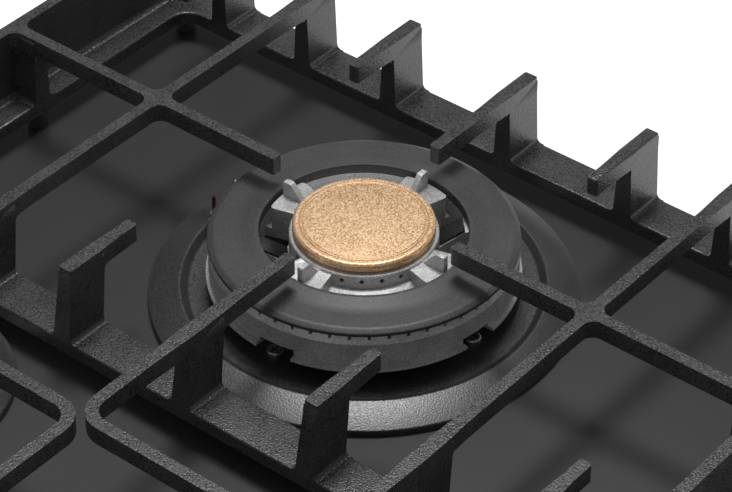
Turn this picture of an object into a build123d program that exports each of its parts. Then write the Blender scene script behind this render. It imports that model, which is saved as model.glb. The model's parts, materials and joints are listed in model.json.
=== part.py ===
from build123d import *
import os
from math import cos, sin, radians

# A built-in gas cooktop with four burners in a diamond. Millimetres, +Z up. The origin is the
# middle of the under-box's bottom, seen from above the middle of the glass plate; +Y is the back.

os.makedirs("parts", exist_ok=True)

# ---- glass plate and under-box -------------------------------------------------------------------
PLATE_WIDTH = 590.0
PLATE_DEPTH = 510.0
PLATE_THICK = 8.0
PLATE_CORNER_R = 6.0
PLATE_EDGE = 1.2
BOX_WIDTH = 552.0
BOX_DEPTH = 472.0
BOX_HEIGHT = 46.0
BOX_SHEET = 1.0
BOX_CORNER_R = 10.0
BOX_FLANGE = 9.0
GASKET_WIDTH = 7.0
GASKET_THICK = 3.0
GASKET_INSET = 2.0

# ---- pan supports --------------------------------------------------------------------------------
BACK_MARGIN = 15.0
GRATE_HALF_DEPTH = 203.0
GRATE_HEIGHT = 49.5
BAR_WIDTH = 5.4
BAR_DEPTH = 8.3
BAR_EDGE_R = 0.9
TIP_CORNER_R = 1.2
BAR_END_R = 1.0
FLARE_RUN = 14.0
JUNCTION_R = 5.0
CORNER_R = 10.7
STRIP_WIDTH = 20.0
STRIP_THICK = 6.3
STRIP_TOP = 15.4
STRIP_CORNER_R = 9.0
STRIP_EDGE_R = 0.9
FRAME_HALF_WIDTH = 115.5
FRAME_HALF_DEPTH = 205.0
POST_TOP_WIDTH = 6.6
POST_FOOT_WIDTH = 9.2
POST_FOOT_R = 2.5
POST_ARM_R = 4.0
POST_OUTER_LEAN = 4.5
POST_INNER_LEAN = 4.0
END_WALL_FOOT_R = 3.0
CROSS_BAR_Y = 114.1
SHORT_FINGER_Y = (64.0, 164.0)
SHORT_FINGER_TIP = 71.0
BIG_TIP_R = 46.8
SMALL_TIP_R = 36.0
FOOT_INSET = 15.0
FOOT_BOSS_R = 5.0
FOOT_BOSS_DEPTH = 5.0
FOOT_PAD_R = 4.5
FOOT_STEM_R = 1.8
FOOT_STEM_LENGTH = 6.0

# ---- big burner ----------------------------------------------------------------------------------
BIG_BURNER_X = 170.0
RING_R = 90.8
RING_SIDE = 3.0
RING_CREST_INSET = 13.6
RING_CREST = 7.9
RING_FLOOR = 5.0
RING_CREST_FALL = 3.2
RING_EDGE_R = 1.2
RING_CREST_R = 1.6
RING_BORE_GAP = 1.0
RING_HOLE_GAP = 0.4
HEAD_R = 65.0
HEAD_TOP = 30.2
HEAD_BAND_R = 62.9
HEAD_BAND_HEIGHT = 4.1
HEAD_WALL = 2.6
HEAD_SKIRT_BOTTOM = 17.6
HEAD_FLOOR = 2.4
HEAD_NECK_R = 24.0
HEAD_NECK_WALL = 3.0
HEAD_NECK_DEPTH = 8.0
HEAD_SEAT_WIDTH = 6.0
CHANNEL_WALL = 3.0
RING_CAP_R = 65.2
RING_CAP_BORE_R = 43.8
RING_CAP_TOP = 33.2
RING_CAP_RISE_R = 52.5
RING_CAP_RISE_ROUND = 16.0
RING_CAP_LIP = 34.9
RING_CAP_LIP_WIDTH = 1.5
RING_CAP_LIP_ROUND = 0.6
RING_CAP_SHOULDER = 2.5
RING_CAP_SHOULDER_R = 4.0
RING_CAP_DROP = 1.3
RING_CAP_EDGE_R = 1.0
RING_CAP_UNDER_ROUND = 0.9
RING_CAP_SPIGOT = 2.5
CAP_SPIGOT_WALL = 2.0
CAP_SPIGOT_GAP = 0.5
CHANNEL_CLEAR = 0.5
CROWN_R = 31.3
CROWN_TOP = 34.0
CROWN_EDGE_R = 1.0
CROWN_WALL = 3.2
CROWN_OUTER_R = 42.6
CROWN_FLOOR = 22.0
CROWN_LAND_TOP = 32.8
CROWN_LAND_CORNER_R = 1.8
LAND_TO_PORTS_DEG = 14.0
LAND_TO_SPOKE_DEG = 16.8
PORT_FLOOR = 27.6
PORT_LEDGE = 1.7
PORT_VALLEYS = (45, 225)
SPOKE_VALLEYS = (135, 315)
SPOKE_SHIFT = 4.9
SPOKE_WIDTH = 9.8
SPOKE_DRAFT = 1.6
SPOKE_TOP = 29.0
SPOKE_DUCT_R = 1.6
SPOKE_DUCT_Z = 20.4
STRIP_ON_SPOKE_WIDTH = 9.4
STRIP_THICKNESS = 1.2
STRIP_IN_Z = 23.8
STRIP_SLOPE = 0.6
STRIP_END_GAP = 0.4
FIN_THICK = 2.7
FIN_TOP = 40.0
FIN_TIP_R = 42.2
FIN_TURN_DEG = 1.1
FIN_CHAMFER = 0.5
FIN_TOP_RUN = 4.2
FIN_FOOT_RUN = 0.6
FIN_CURVE_R = 1.5
PORT_R = 0.95
PORT_Z = 31.2
PORT_PITCH_DEG = 15.3
PORTS_PER_SIDE = 4
SLOT_COUNT = 50
SLOT_START_DEG = 5.0
SLOT_WIDTH = 1.3
SLOT_DEPTH = 2.2
TAB_LEDGE_R = 66.2
TAB_DEPTH = 5.0
TAB_THICK = 1.4
TAB_STEP = 1.6
TAB_WIDTH = 4.0
TAB_SPANS = ((192.5, 258.5), (12.5, 78.5), (272, 357.5), (92, 177.5))
BRASS_CAP_R = 29.9
BRASS_CAP_TOP = 38.9
BRASS_GROOVE_R = 26.3
BRASS_GROOVE = 0.5
BRASS_EDGE_R = 2.6
BRASS_UNDERCUT = 1.4
BRASS_RIM_DEPTH = 3.0
BIG_SCREW_PITCH_R = 57.6

# ---- small burners: name, place by the grate's own lines, head radius, drip ring radius ----------
LEFT_HEAD_R = 43.5
LEFT_RING_R = 68.0
BACK_HEAD_R = 33.0
BACK_RING_R = 55.0
FRONT_HEAD_R = 27.5
FRONT_RING_R = 48.0
SMALL_CREST_INSET = 9.0
SMALL_HEAD_TOP = 27.6
SMALL_SKIRT_BOTTOM = 15.0
SMALL_CAP_THICK = 5.2
SMALL_CAP_INSET = 1.6
SMALL_CAP_EDGE_R = 3.6
SMALL_CROWN_INSET = 2.2
SMALL_SKIRT_HEIGHT = 5.0
SMALL_RIM_GAP = 0.4
SMALL_WALL = 3.0
SMALL_NECK_INSET = 13.0
SMALL_SLOTS = 30
SMALL_SLOT_WIDTH = 1.4
SMALL_SLOT_HEIGHT = 3.4

# ---- what carries the burners under the glass ----------------------------------------------------
CUP_FLANGE_THICK = 4.0
CUP_FLANGE_TOP = 2.4
CUP_WALL = 3.0
CUP_BOTTOM = -38.0
CUP_SEAT = 8.0
CUP_FIT = 0.5
CUP_RIM = 2.0
CUP_BOSS_WALL = 0.6
HOLE_GAP = 2.0
INLET_Z = -30.0
INLET_BOSS_R = 5.5
INLET_BOSS_LENGTH = 8.0
INJECTOR_R = 4.0
INJECTOR_LENGTH = 12.0
INJECTOR_JET_R = 0.6
SCREW_R = 2.0
SCREW_HEAD_R = 3.6
SCREW_HEAD = 2.2
SCREW_LENGTH = 10.0
SCREW_CROSS = 4.4
SCREW_CROSS_WIDTH = 0.9
SCREW_CROSS_DEPTH = 1.2
SCREW_FIT = 0.05
SCREW_CLEAR = 0.8
PLUG_STANDOFF = 7.0
PLUG_R = 2.8
PLUG_TIP = 17.0
PLUG_DEG = 101.5
PLUG_TERMINAL = 5.0
ELECTRODE_R = 0.8
ELECTRODE_TIP = 25.4
THERMO_DEG = 89.0
THERMO_R = 2.0
THERMO_TIP = 24.4
THERMO_BOTTOM = -14.0
PLUG_BOTTOM = -18.0
PLUG_FOOT = -8.0
PLUG_TIP_R = 2.0

# ---- knobs, taps and gas rail --------------------------------------------------------------------
KNOB_INSET = 24.0
KNOB_PITCH = 60.0
KNOB_COUNT = 4
KNOB_R = 20.0
KNOB_TOP_R = 18.5
KNOB_HEIGHT = 24.0
KNOB_GAP = 4.0
KNOB_WALL = 2.5
KNOB_SOCKET_R = 7.0
KNOB_GRIP_WIDTH = 9.0
KNOB_GRIP_HEIGHT = 9.0
PUSH_TRAVEL = 3.0
STEM_R = 4.0
STEM_KEY = 5.0
STEM_GAP = 0.1
STEM_CLEAR = 0.5
STEM_HOLE_GAP = 3.0
SEAL_R = 11.0
SEAL_THICK = 0.8
SEAL_GAP = 0.4
TAP_WIDTH = 24.0
TAP_LENGTH = 30.0
TAP_TOP = 42.0
TAP_SADDLE_GAP = 0.05
TAP_PLUG_R = 6.0
TAP_PLUG_LENGTH = 16.0
TAP_PLUG_BOTTOM = 20.5
TAP_PLUG_GAP = 0.05
TAP_PLUG_FLOOR = 2.0
TAP_LID = 4.0
TAP_OUTLET_R = 4.6
TAP_OUTLET_LENGTH = 3.0
TAP_GAS_WAY_R = 2.0
TAP_CHAMBER = 5.5
MAGNET_R = 7.0
MAGNET_LENGTH = 14.0
MAGNET_Z = 32.0
RAIL_R = 8.0
RAIL_WALL = 1.5
RAIL_Z = 10.5
RAIL_END_LEFT = -135.0
RAIL_END_RIGHT = 190.0
BRACKET_WIDTH = 16.0
BRACKET_DEPTH = 24.0
BRACKET_INSET = 17.0
PIPE_R = 3.0
PIPE_WALL = 0.8
PIPE_BEND_R = 14.0
PIPE_SIDE_STEP = 30.0
PIPE_PAIR_STEP = 0.4
NUT_R = 6.0
NUT_LENGTH = 8.0
INLET_PIPE_R = 6.0
INLET_PIPE_X = 256.0
INLET_PIPE_WALL = 1.2
INLET_PIPE_BEND_R = 24.0
ELBOW_SIZE = 22.0
THREAD_R = 10.4
THREAD_LENGTH = 14.0
THREAD_BORE_R = 6.0
THREAD_HOLE_GAP = 1.0
ELBOW_WALL = 4.0

# ---- electrics and fixing ------------------------------------------------------------------------
FITTING_RISE = 2.0
GENERATOR_SIZE = (66.0, 60.0, 28.0)
GENERATOR_AT = (-232.0, -158.0)
GENERATOR_EDGE_R = 1.5
LEAD_R = 1.25
LEAD_BEND_R = 8.0
LEAD_PITCH = 12.0
IGNITION_LEAD_RISE = 4.0
THERMO_LEAD_R = 1.0
THERMO_LEAD_BEND_R = 6.0
THERMO_LEAD_OUT = 11.0
TERMINAL_SIZE = (40.0, 24.0, 22.0)
TERMINAL_X = -225.0
GROMMET_R = 6.5
GROMMET_LIP = 4.0
GROMMET_LIP_WIDTH = 2.0
CABLE_HOLE_R = 3.6
CABLE_SOCKET = 8.0
CLAMP_WIDTH = 22.0
CLAMP_REACH = 14.0
CLAMP_SHEET = 1.5
CLAMP_X = 190.0
CLAMP_HEIGHT = 30.0
CLAMP_DROP = 2.0
CLAMP_SCREW_R = 2.5
CLAMP_SCREW_LENGTH = 8.0
CLAMP_HEAD_R = 4.5
CLAMP_HEAD = 2.6

# ---- places worked out from the sizes above ------------------------------------------------------
PLATE_TOP = BOX_HEIGHT + PLATE_THICK
SPOKES = tuple(zip(SPOKE_VALLEYS, (0.0, SPOKE_SHIFT)))
GRATE_Y = PLATE_DEPTH / 2 - BACK_MARGIN - GRATE_HALF_DEPTH
BURNERS = {
    "big": (BIG_BURNER_X, GRATE_Y),
    "left": (-BIG_BURNER_X, GRATE_Y),
    "back": (0.0, GRATE_Y + CROSS_BAR_Y),
    "front": (0.0, GRATE_Y - CROSS_BAR_Y),
}
SMALL_SIZES = {
    "left": (LEFT_HEAD_R, LEFT_RING_R),
    "back": (BACK_HEAD_R, BACK_RING_R),
    "front": (FRONT_HEAD_R, FRONT_RING_R),
}
HEAD_RADII = {"big": HEAD_R, **{name: sizes[0] for name, sizes in SMALL_SIZES.items()}}
KNOB_Y = KNOB_INSET - BOX_DEPTH / 2
KNOB_X = [(i - (KNOB_COUNT - 1) / 2) * KNOB_PITCH for i in range(KNOB_COUNT)]


def lathe(points, radii=0):
    """A solid of revolution about Z from (radius, height) corners, each with its own rounding."""
    outline = FilletPolyline(*[(r, 0, z) for r, z in points], radius=radii, close=True)
    return revolve(make_face(outline), Axis.Z, 360)


def disc(radius, low, high):
    return Pos(0, 0, (low + high) / 2) * Cylinder(radius, high - low)


def tube(outer, inner, low, high):
    return disc(outer, low, high) - disc(inner, low, high)


def block(x0, x1, y0, y1, z0, z1):
    return Pos((x0 + x1) / 2, (y0 + y1) / 2, (z0 + z1) / 2) * Box(x1 - x0, y1 - y0, z1 - z0)


def forward_rod(radius, length):
    """A round bar from the origin towards the front."""
    return Rot(90, 0, 0) * Cylinder(radius, length, align=(Align.CENTER, Align.CENTER, Align.MIN))


def rearward_rod(radius, length):
    """A round bar from the origin towards the back."""
    return Rot(-90, 0, 0) * Cylinder(radius, length, align=(Align.CENTER, Align.CENTER, Align.MIN))


def sideways_rod(radius, length):
    """A round bar from the origin towards the right."""
    return Rot(0, 90, 0) * Cylinder(radius, length, align=(Align.CENTER, Align.CENTER, Align.MIN))


def wedge(radius, low, high, start_deg, end_deg):
    """All that lies between two directions, out to beyond a radius."""
    middle = (start_deg + end_deg) / 2
    reach = 2 * radius
    slice_face = make_face(Polyline(
        (0, 0), *[polar(reach, deg) for deg in (start_deg, middle, end_deg)], close=True))
    return extrude(Pos(0, 0, low) * slice_face, high - low)


def sector(inner, outer, low, high, start_deg, end_deg):
    """A slice of a flat ring between two directions."""
    return tube(outer, inner, low, high) & wedge(outer, low, high, start_deg, end_deg)


def polar(radius, deg):
    return radius * cos(radians(deg)), radius * sin(radians(deg))


def on_plate(shape, name):
    """Move a piece drawn about its burner's axis, with the plate's top as zero, to its place."""
    x, y = BURNERS[name]
    return Pos(x, y, PLATE_TOP) * shape


def near(vertex, x, y, reach=0.6):
    return abs(vertex.X - x) < reach and abs(vertex.Y - y) < reach


def save(shape, name):
    solids = shape.solids()
    whole = solids[0] if len(solids) == 1 else Compound(children=list(solids))
    whole.label = name
    export_step(whole, f"parts/{name}.step")


# ---- plate, box, gasket --------------------------------------------------------------------------
def flange_radius(name):
    """The burner cup's flange carries the spark plug and the thermocouple beside the head."""
    return plug_radius(name) + PLUG_R + CUP_RIM


def plug_radius(name):
    return HEAD_RADII[name] + PLUG_STANDOFF


def make_plate():
    outline = RectangleRounded(PLATE_WIDTH, PLATE_DEPTH, PLATE_CORNER_R)
    plate = extrude(outline, PLATE_THICK)
    plate = chamfer(plate.faces().sort_by(Axis.Z)[-1].edges(), PLATE_EDGE)
    plate = Pos(0, 0, BOX_HEIGHT) * plate
    for name, (x, y) in BURNERS.items():
        hole = flange_radius(name) + HOLE_GAP
        plate -= Pos(x, y, 0) * disc(hole, BOX_HEIGHT - 1, PLATE_TOP + 1)
    for x in KNOB_X:
        plate -= Pos(x, KNOB_Y, 0) * disc(STEM_R + STEM_HOLE_GAP, BOX_HEIGHT - 1, PLATE_TOP + 1)
    return plate


def make_box():
    shell = extrude(RectangleRounded(BOX_WIDTH, BOX_DEPTH, BOX_CORNER_R), BOX_HEIGHT)
    inside = extrude(
        RectangleRounded(BOX_WIDTH - 2 * BOX_SHEET, BOX_DEPTH - 2 * BOX_SHEET,
                         BOX_CORNER_R - BOX_SHEET), BOX_HEIGHT)
    flange = extrude(
        RectangleRounded(BOX_WIDTH + 2 * BOX_FLANGE, BOX_DEPTH + 2 * BOX_FLANGE,
                         BOX_CORNER_R + BOX_FLANGE), BOX_SHEET)
    box = shell + Pos(0, 0, BOX_HEIGHT - BOX_SHEET) * flange
    box -= Pos(0, 0, BOX_SHEET) * inside
    back = BOX_DEPTH / 2
    thread_hole = Rot(90, 0, 0) * Cylinder(THREAD_R + THREAD_HOLE_GAP, 4 * BOX_SHEET)
    box -= Pos(elbow_x(), back, elbow_height()) * thread_hole
    gland_hole = Rot(90, 0, 0) * Cylinder(GROMMET_R, 4 * BOX_SHEET)
    box -= Pos(TERMINAL_X, back, gland_height()) * gland_hole
    for x in (-CLAMP_X, CLAMP_X):
        for side in (-1, 1):
            hole = Rot(90, 0, 0) * Cylinder(CLAMP_SCREW_R + SCREW_FIT, 4 * BOX_SHEET)
            box -= Pos(x, side * back, clamp_height()) * hole
    return box


def elbow_x():
    return INLET_PIPE_X + INLET_PIPE_R - ELBOW_SIZE / 2


def elbow_height():
    return BOX_SHEET + FITTING_RISE + ELBOW_SIZE / 2


def gland_height():
    return BOX_SHEET + FITTING_RISE + TERMINAL_SIZE[2] / 2


def clamp_height():
    return BOX_HEIGHT / 2


def make_gasket():
    outer = RectangleRounded(PLATE_WIDTH - 2 * GASKET_INSET, PLATE_DEPTH - 2 * GASKET_INSET,
                             PLATE_CORNER_R)
    inner = RectangleRounded(PLATE_WIDTH - 2 * GASKET_INSET - 2 * GASKET_WIDTH,
                             PLATE_DEPTH - 2 * GASKET_INSET - 2 * GASKET_WIDTH,
                             PLATE_CORNER_R / 2)
    return Pos(0, 0, BOX_HEIGHT - GASKET_THICK) * extrude(outer - inner, GASKET_THICK)


# ---- pan supports --------------------------------------------------------------------------------
def bar(x0, y0, x1, y1):
    """A straight bar of the top grid, seen from above, from its middle line's ends."""
    if x0 == x1:
        return Pos(x0, (y0 + y1) / 2) * Rectangle(BAR_WIDTH, abs(y1 - y0))
    return Pos((x0 + x1) / 2, y0) * Rectangle(abs(x1 - x0), BAR_WIDTH)


def flare(side, y, through=False):
    """Widens a bar where it runs over a long strip, seen from above."""
    inner = FRAME_HALF_WIDTH - STRIP_WIDTH
    narrow = BAR_WIDTH / 2
    wide = POST_TOP_WIDTH / 2
    half_outline = [(inner - FLARE_RUN, narrow), (inner, wide), (bar_end(side), wide)]
    if through:
        half_outline.append((FRAME_HALF_WIDTH + FLARE_RUN, narrow))
    outline = [(x, -h) for x, h in half_outline] + [(x, h) for x, h in reversed(half_outline)]
    return Pos(0, y) * Rot(0, 0, 0 if side > 0 else 180) * make_face(Polyline(*outline, close=True))


def bar_end(side):
    """How far from the middle line the bars end: the left-hand posts lean in."""
    return FRAME_HALF_WIDTH - (POST_OUTER_LEAN if side < 0 else 0)


def top_grid():
    half = BAR_WIDTH / 2
    wide = POST_TOP_WIDTH / 2
    right = bar_end(1)
    left = -bar_end(-1)
    end_y = GRATE_HALF_DEPTH - half
    reach = -BIG_BURNER_X
    small_tip_x = reach + SMALL_TIP_R
    small_tip_y = CROSS_BAR_Y - SMALL_TIP_R
    low_tip_y = CROSS_BAR_Y + SMALL_TIP_R
    bars = [
        bar(0, BIG_TIP_R, 0, end_y + half),
        bar(0, -BIG_TIP_R, 0, -end_y - half),
        bar(small_tip_x, CROSS_BAR_Y, right, CROSS_BAR_Y),
        bar(small_tip_x, -CROSS_BAR_Y, right, -CROSS_BAR_Y),
        bar(BIG_TIP_R, 0, right, 0),
        bar(-BIG_TIP_R, 0, reach - half, 0),
        bar(reach, half, reach, -small_tip_y),
        bar(left, end_y, right, end_y),
        bar(reach - half, -end_y, right, -end_y),
        bar(reach, -end_y - half, reach, -low_tip_y),
    ]
    for y in SHORT_FINGER_Y:
        for side in (-1, 1):
            bars.append(bar(SHORT_FINGER_TIP, side * y, right, side * y))
            bars.append(bar(-SHORT_FINGER_TIP, side * y, left, side * y))
    for y in grid_posts():
        bars.append(flare(1, y))
        bars.append(flare(-1, y, through=not ends_at_left(y)))
    grid = bars[0]
    for piece in bars[1:]:
        grid += piece
    crossings = [(sx * half, side * CROSS_BAR_Y + sy * half)
                 for side in (-1, 1) for sx in (-1, 1) for sy in (-1, 1)]
    crossings += [(sx * half, side * (end_y - half)) for side in (-1, 1) for sx in (-1, 1)]
    grid = round_at(grid, crossings, JUNCTION_R)
    grid = round_at(grid, [(reach - half, half), (reach - half, -end_y - half)],
                    CORNER_R + half)
    grid = round_at(grid, [(reach + half, -half), (reach + half, -end_y + half)],
                    CORNER_R - half)
    tips = [(sx * half, sy * BIG_TIP_R) for sx in (-1, 1) for sy in (-1, 1)]
    tips += [(sx * BIG_TIP_R, sy * half) for sx in (-1, 1) for sy in (-1, 1)]
    tips += [(small_tip_x, side * CROSS_BAR_Y + sy * half) for side in (-1, 1) for sy in (-1, 1)]
    tips += [(reach + sx * half, -y) for sx in (-1, 1) for y in (small_tip_y, low_tip_y)]
    tips += [(sx * SHORT_FINGER_TIP, side * y + sy * half) for sx in (-1, 1)
             for side in (-1, 1) for sy in (-1, 1) for y in SHORT_FINGER_Y]
    grid = round_at(grid, tips, TIP_CORNER_R)
    ends = [(right, y + sy * wide) for y in grid_posts() for sy in (-1, 1)]
    ends += [(left, y + sy * wide) for y in grid_posts() for sy in (-1, 1) if ends_at_left(y)]
    return round_at(grid, ends, BAR_END_R)


def ends_at_left(y):
    """Every bar ends on the left-hand strip but the two that run on to the small burners."""
    return not (abs(y) < 1 or abs(abs(y) - CROSS_BAR_Y) < 1 or y < -SHORT_FINGER_Y[1] - 1)


def round_at(sketch, places, radius):
    corners = [v for v in sketch.vertices() if any(near(v, x, y) for x, y in places)]
    return fillet(corners, radius)


def grid_posts():
    """Where the top grid stands on the two long strips of the base frame, along Y."""
    places = [0.0]
    for y in (CROSS_BAR_Y, *SHORT_FINGER_Y, GRATE_HALF_DEPTH - BAR_WIDTH / 2):
        places += [y, -y]
    return places


def post(length):
    """A post with drafted sides and rounded feet, along X, centred on its own middle."""
    top = POST_TOP_WIDTH / 2
    foot = POST_FOOT_WIDTH / 2
    spread = foot + POST_FOOT_R + 1.0
    sink = STRIP_TOP - 1.0
    under = GRATE_HEIGHT - BAR_DEPTH
    corners = [(-spread, sink), (-spread, STRIP_TOP), (-foot, STRIP_TOP), (-top, under),
               (-top, GRATE_HEIGHT - 2 * BAR_EDGE_R), (top, GRATE_HEIGHT - 2 * BAR_EDGE_R),
               (top, under), (foot, STRIP_TOP), (spread, STRIP_TOP), (spread, sink)]
    radii = [0, 0, POST_FOOT_R, 0, 0, 0, 0, POST_FOOT_R, 0, 0]
    outline = FilletPolyline(*[(-length / 2, y, z) for y, z in corners], radius=radii, close=True)
    return extrude(make_face(outline), length, dir=(1, 0, 0))


def post_mask(side):
    """The side view of a long strip's posts: the left-hand ones lean as they rise."""
    outer = -STRIP_WIDTH / 2
    inner = STRIP_WIDTH / 2
    lean_out, lean_in = (POST_OUTER_LEAN, POST_INNER_LEAN) if side < 0 else (0.0, 0.0)
    under = GRATE_HEIGHT - BAR_DEPTH
    reach = 2 * POST_FOOT_WIDTH
    corners = [(outer, STRIP_TOP - 1), (inner, STRIP_TOP - 1), (inner, STRIP_TOP),
               (inner + lean_in, under), (inner + lean_in, GRATE_HEIGHT),
               (outer + lean_out, GRATE_HEIGHT), (outer, STRIP_TOP)]
    outline = Polyline(*[(x, -reach, z) for x, z in corners], close=True)
    mask = extrude(make_face(outline), 2 * reach, dir=(0, 1, 0))
    return mask if side < 0 else Rot(0, 0, 180) * mask


def arm_fillet(side):
    """The rounded inner corner between a bar's underside and its post."""
    under = GRATE_HEIGHT - BAR_DEPTH
    inner = FRAME_HALF_WIDTH - STRIP_WIDTH - (POST_INNER_LEAN if side < 0 else 0)
    size = POST_ARM_R
    corner = block(0, size, -BAR_WIDTH / 2, BAR_WIDTH / 2, -size, 0)
    corner -= Pos(size, 0, -size) * Rot(90, 0, 0) * Cylinder(size, 2 * BAR_WIDTH)
    placed = corner if side < 0 else Rot(0, 0, 180) * corner
    return Pos(side * inner, 0, under) * placed


def end_wall():
    """Closes an end of the casting, from the base frame up to the end bar, its foot rounded."""
    outer = GRATE_HALF_DEPTH
    inner = outer - BAR_WIDTH
    toe = inner - END_WALL_FOOT_R - STRIP_EDGE_R
    sink = STRIP_TOP - STRIP_EDGE_R
    high = GRATE_HEIGHT - BAR_DEPTH + STRIP_EDGE_R
    outline = FilletPolyline((0, toe, sink), (0, toe, STRIP_TOP), (0, inner, STRIP_TOP),
                             (0, inner, high), (0, outer, high), (0, outer, sink),
                             radius=[0, 0, END_WALL_FOOT_R, 0, 0, 0], close=True)
    half = FRAME_HALF_WIDTH - STRIP_WIDTH + END_WALL_FOOT_R
    return Pos(-half, 0, 0) * extrude(make_face(outline), 2 * half, dir=(1, 0, 0))


def make_grate():
    """One casting: base frame, posts, walls, top grid and foot bosses, about the big axis."""
    under = GRATE_HEIGHT - BAR_DEPTH
    strip_low = STRIP_TOP - STRIP_THICK
    outer = RectangleRounded(2 * FRAME_HALF_WIDTH, 2 * FRAME_HALF_DEPTH, STRIP_CORNER_R)
    left_part = Pos(-BIG_BURNER_X, 0) * Rectangle(2 * BIG_BURNER_X, 2 * FRAME_HALF_DEPTH)
    top = extrude(Pos(0, 0, under) * (top_grid() & (outer + left_part)), BAR_DEPTH)
    top = fillet(top.faces().sort_by(Axis.Z)[-1].edges(), BAR_EDGE_R)
    inner = RectangleRounded(2 * (FRAME_HALF_WIDTH - STRIP_WIDTH),
                             2 * (FRAME_HALF_DEPTH - STRIP_WIDTH), STRIP_CORNER_R)
    frame = extrude(Pos(0, 0, strip_low) * (outer - inner), STRIP_THICK)
    frame = fillet(frame.faces().sort_by(Axis.Z)[-1].edges(), STRIP_EDGE_R)
    middle_x = FRAME_HALF_WIDTH - STRIP_WIDTH / 2
    for y in grid_posts():
        for side in (-1, 1):
            blank = post(STRIP_WIDTH + 2 * POST_INNER_LEAN)
            frame += Pos(side * middle_x, y, 0) * (blank & post_mask(side))
            frame += Pos(0, y, 0) * arm_fillet(side)
    for side in (-1, 1):
        reach = STRIP_WIDTH - (FRAME_HALF_DEPTH - GRATE_HALF_DEPTH)
        y = side * (FRAME_HALF_DEPTH - STRIP_WIDTH + reach / 2)
        frame += Pos(0, y, 0) * Rot(0, 0, 90) * post(reach)
        frame += Rot(0, 0, 0 if side > 0 else 180) * end_wall()
    frame = frame & extrude(outer, GRATE_HEIGHT)
    for x, y in foot_places():
        boss = disc(FOOT_BOSS_R, strip_low - FOOT_BOSS_DEPTH, strip_low)
        socket = disc(FOOT_STEM_R, strip_low - FOOT_BOSS_DEPTH,
                      strip_low - FOOT_BOSS_DEPTH + FOOT_STEM_LENGTH)
        frame += Pos(x, y, 0) * boss
        frame -= Pos(x, y, 0) * socket
    return frame + top


def foot_places():
    """Three feet under each end of the casting."""
    x = FRAME_HALF_WIDTH - FOOT_INSET
    y = FRAME_HALF_DEPTH - FOOT_INSET
    return [(sx * x, sy * y) for sx in (-1, 0, 1) for sy in (-1, 1)]


def make_feet():
    low = STRIP_TOP - STRIP_THICK - FOOT_BOSS_DEPTH
    pads = None
    for x, y in foot_places():
        pad = disc(FOOT_PAD_R, 0, low) + disc(FOOT_STEM_R, low, low + FOOT_STEM_LENGTH)
        pads = Pos(x, y, 0) * pad if pads is None else pads + Pos(x, y, 0) * pad
    return pads


# ---- drip rings ----------------------------------------------------------------------------------
def screw_places(name):
    if name == "big":
        return [polar(BIG_SCREW_PITCH_R, a) for a in (0, 90, 180, 270)]
    pitch = collar_radius(name) + SCREW_HEAD_R + SCREW_CLEAR
    return [polar(pitch, a) for a in (-90, 30, 150)]


def neck_radius(name):
    return HEAD_NECK_R if name == "big" else HEAD_RADII[name] - SMALL_NECK_INSET


def collar_radius(name):
    return neck_radius(name) + CUP_FIT + CUP_WALL


def make_drip_ring(name):
    """The enamelled ring on the glass: rim, sloping band, crest and a sunk floor."""
    radius, inset = (RING_R, RING_CREST_INSET) if name == "big" else \
        (SMALL_SIZES[name][1], SMALL_CREST_INSET)
    crest = radius - inset
    bore = collar_radius(name) + RING_BORE_GAP
    rest = flange_radius(name) + HOLE_GAP
    points = [(radius, 0), (radius, RING_SIDE), (crest, RING_CREST),
              (crest - RING_CREST_FALL, RING_FLOOR), (bore, RING_FLOOR), (bore, CUP_FLANGE_TOP),
              (rest, CUP_FLANGE_TOP), (rest, 0)]
    radii = [0, RING_EDGE_R, RING_CREST_R, RING_EDGE_R, 0, 0, 0, 0]
    ring = lathe(points, radii)
    for x, y in screw_places(name):
        ring -= Pos(x, y, 0) * disc(SCREW_R + RING_HOLE_GAP, 0, RING_CREST)
    for deg, radius_hole in ((PLUG_DEG, PLUG_R + RING_HOLE_GAP),
                             (THERMO_DEG, THERMO_R + RING_HOLE_GAP)):
        x, y = polar(plug_radius(name), deg)
        ring -= Pos(x, y, 0) * disc(radius_hole, 0, RING_CREST + 1)
    return ring


# ---- cups, injectors, screws, plugs --------------------------------------------------------------
def make_cup(name):
    """The casting under the glass that holds a burner's injector, plug and screws."""
    inner = neck_radius(name) + CUP_FIT
    outer = inner + CUP_WALL
    flange = flange_radius(name)
    low = CUP_FLANGE_TOP - CUP_FLANGE_THICK
    points = [(0, CUP_BOTTOM), (outer, CUP_BOTTOM), (outer, low), (flange, low),
              (flange, CUP_FLANGE_TOP), (outer, CUP_FLANGE_TOP), (outer, CUP_SEAT),
              (inner, CUP_SEAT), (inner, CUP_BOTTOM + CUP_WALL), (0, CUP_BOTTOM + CUP_WALL)]
    cup = lathe(points)
    for shift in inlet_shifts(name):
        boss = Pos(shift, 0, INLET_Z) * forward_rod(INLET_BOSS_R, inlet_face(name))
        cup += boss - disc(inner, CUP_BOTTOM, 0)
        cup -= Pos(shift, 0, INLET_Z) * forward_rod(PIPE_R - PIPE_WALL, inlet_face(name) + 1)
    for x, y in screw_places(name):
        boss = disc(SCREW_HEAD_R + CUP_BOSS_WALL, CUP_FLANGE_TOP - SCREW_LENGTH, CUP_FLANGE_TOP)
        cup += Pos(x, y, 0) * boss
        cup -= Pos(x, y, 0) * disc(SCREW_R + SCREW_FIT, -SCREW_LENGTH - 2, CUP_FLANGE_TOP + 1)
    for deg, radius in ((PLUG_DEG, PLUG_R), (THERMO_DEG, THERMO_R)):
        x, y = polar(plug_radius(name), deg)
        cup -= Pos(x, y, 0) * disc(radius + SCREW_FIT, low - 1, CUP_FLANGE_TOP + 1)
    return cup


def inlet_face(name):
    """How far in front of its burner's axis a cup's gas inlet ends."""
    return collar_radius(name) + INLET_BOSS_LENGTH


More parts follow.
